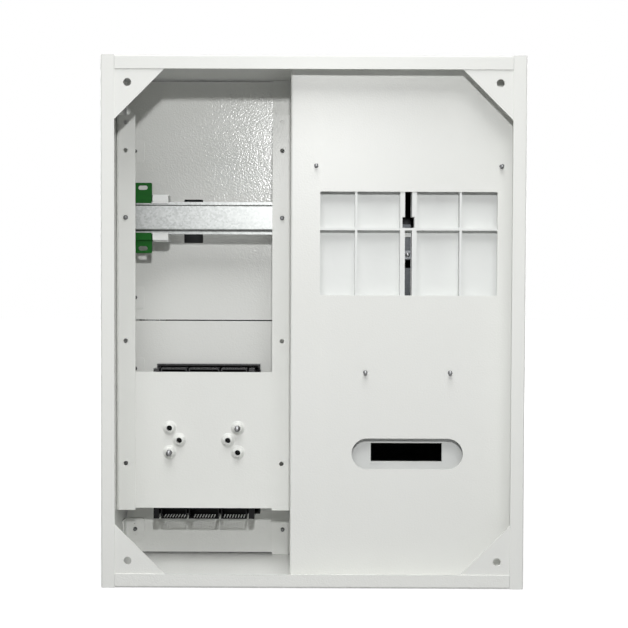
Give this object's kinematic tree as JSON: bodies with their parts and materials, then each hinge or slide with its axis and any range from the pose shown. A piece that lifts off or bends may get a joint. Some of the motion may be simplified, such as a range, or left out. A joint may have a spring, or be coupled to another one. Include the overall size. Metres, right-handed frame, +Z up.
{
  "type": "distribution board enclosure",
  "caption": "Steel enclosure for a meter and distribution board: open-backed case with a divider, meter board, device rail, fuse switch, bay covers and a hinged lockable door.",
  "frame": {"origin": "middle of the four wall fixing holes, on the rear faces of the corner gussets", "axes": "+X to the right as seen from the open back, +Y from the back to the door, +Z up"},
  "size_m": [0.43, 0.1632, 0.54],
  "materials": {
    "case_paint": "semi-gloss white powder coat with a fine orange-peel",
    "zinc_steel": "zinc-plated or galvanised, satin with spangle",
    "board_plastic": "white moulded plastic, slightly glossy",
    "earth_green": "green moulded plastic, satin",
    "neutral_pale": "pale grey moulded plastic, satin",
    "terminal_brass": "bare brass, satin",
    "switch_black": "black moulded plastic, fine texture",
    "contact_metal": "tin-plated copper alloy",
    "link_ceramic": "pale ceramic body with plated blades",
    "lock_chrome": "bright plated die-casting"
  },
  "bodies": {
    "case": {"left_wall": "case_paint", "right_wall": "case_paint", "top_wall": "case_paint", "bottom_wall": "case_paint", "gusset_top_left": "case_paint", "gusset_top_right": "case_paint", "gusset_bottom_left": "case_paint", "gusset_bottom_right": "case_paint", "divider": "case_paint", "meter_panel": "case_paint", "left_rail": "case_paint", "right_rail": "case_paint", "equipment_plate": "case_paint", "cover_tab_1": "case_paint", "cover_tab_2": "case_paint", "cover_tab_3": "case_paint", "cover_tab_4": "case_paint", "upper_cover": "case_paint", "lower_cover": "case_paint", "lock_keeper": "case_paint", "meter_board_screws": "zinc_steel", "din_rail": "zinc_steel", "din_rail_screws": "zinc_steel", "switch_screws": "zinc_steel", "cover_screws": "zinc_steel", "hinge_pin_top": "zinc_steel", "hinge_pin_bottom": "zinc_steel", "earth_bar_screws": "zinc_steel", "neutral_bar_screws": "zinc_steel", "meter_board": "board_plastic", "earth_terminal": "earth_green", "neutral_terminal": "neutral_pale", "earth_bar": "terminal_brass", "neutral_bar": "terminal_brass", "switch_base": "switch_black", "switch_lid": "switch_black", "switch_contacts": "contact_metal", "fuse_links": "link_ceramic"},
    "door": {"door": "case_paint", "lock_body": "lock_chrome", "lock_nut": "zinc_steel"},
    "lock": {"lock_plug": "lock_chrome", "lock_cam": "zinc_steel"},
    "hook": {"meter_hook": "zinc_steel", "meter_hook_screw": "zinc_steel", "meter_hook_nut": "zinc_steel"}
  },
  "joints": [
    {"name": "door_hinge", "type": "hinge", "parent": "case", "child": "door", "pos_m": [0.1998, 0.154, 0], "axis": [0, 0, -1], "range_deg": [0, 120]},
    {"name": "lock_turn", "type": "hinge", "parent": "door", "child": "lock", "pos_m": [-0.1838, 0.15, 0], "axis": [0, -1, 0], "range_deg": [0, 90]},
    {"name": "hook_slide", "type": "slide", "parent": "case", "child": "hook", "axis": [0, 0, 1], "range_m": [-0.083, 0.013]}
  ]
}
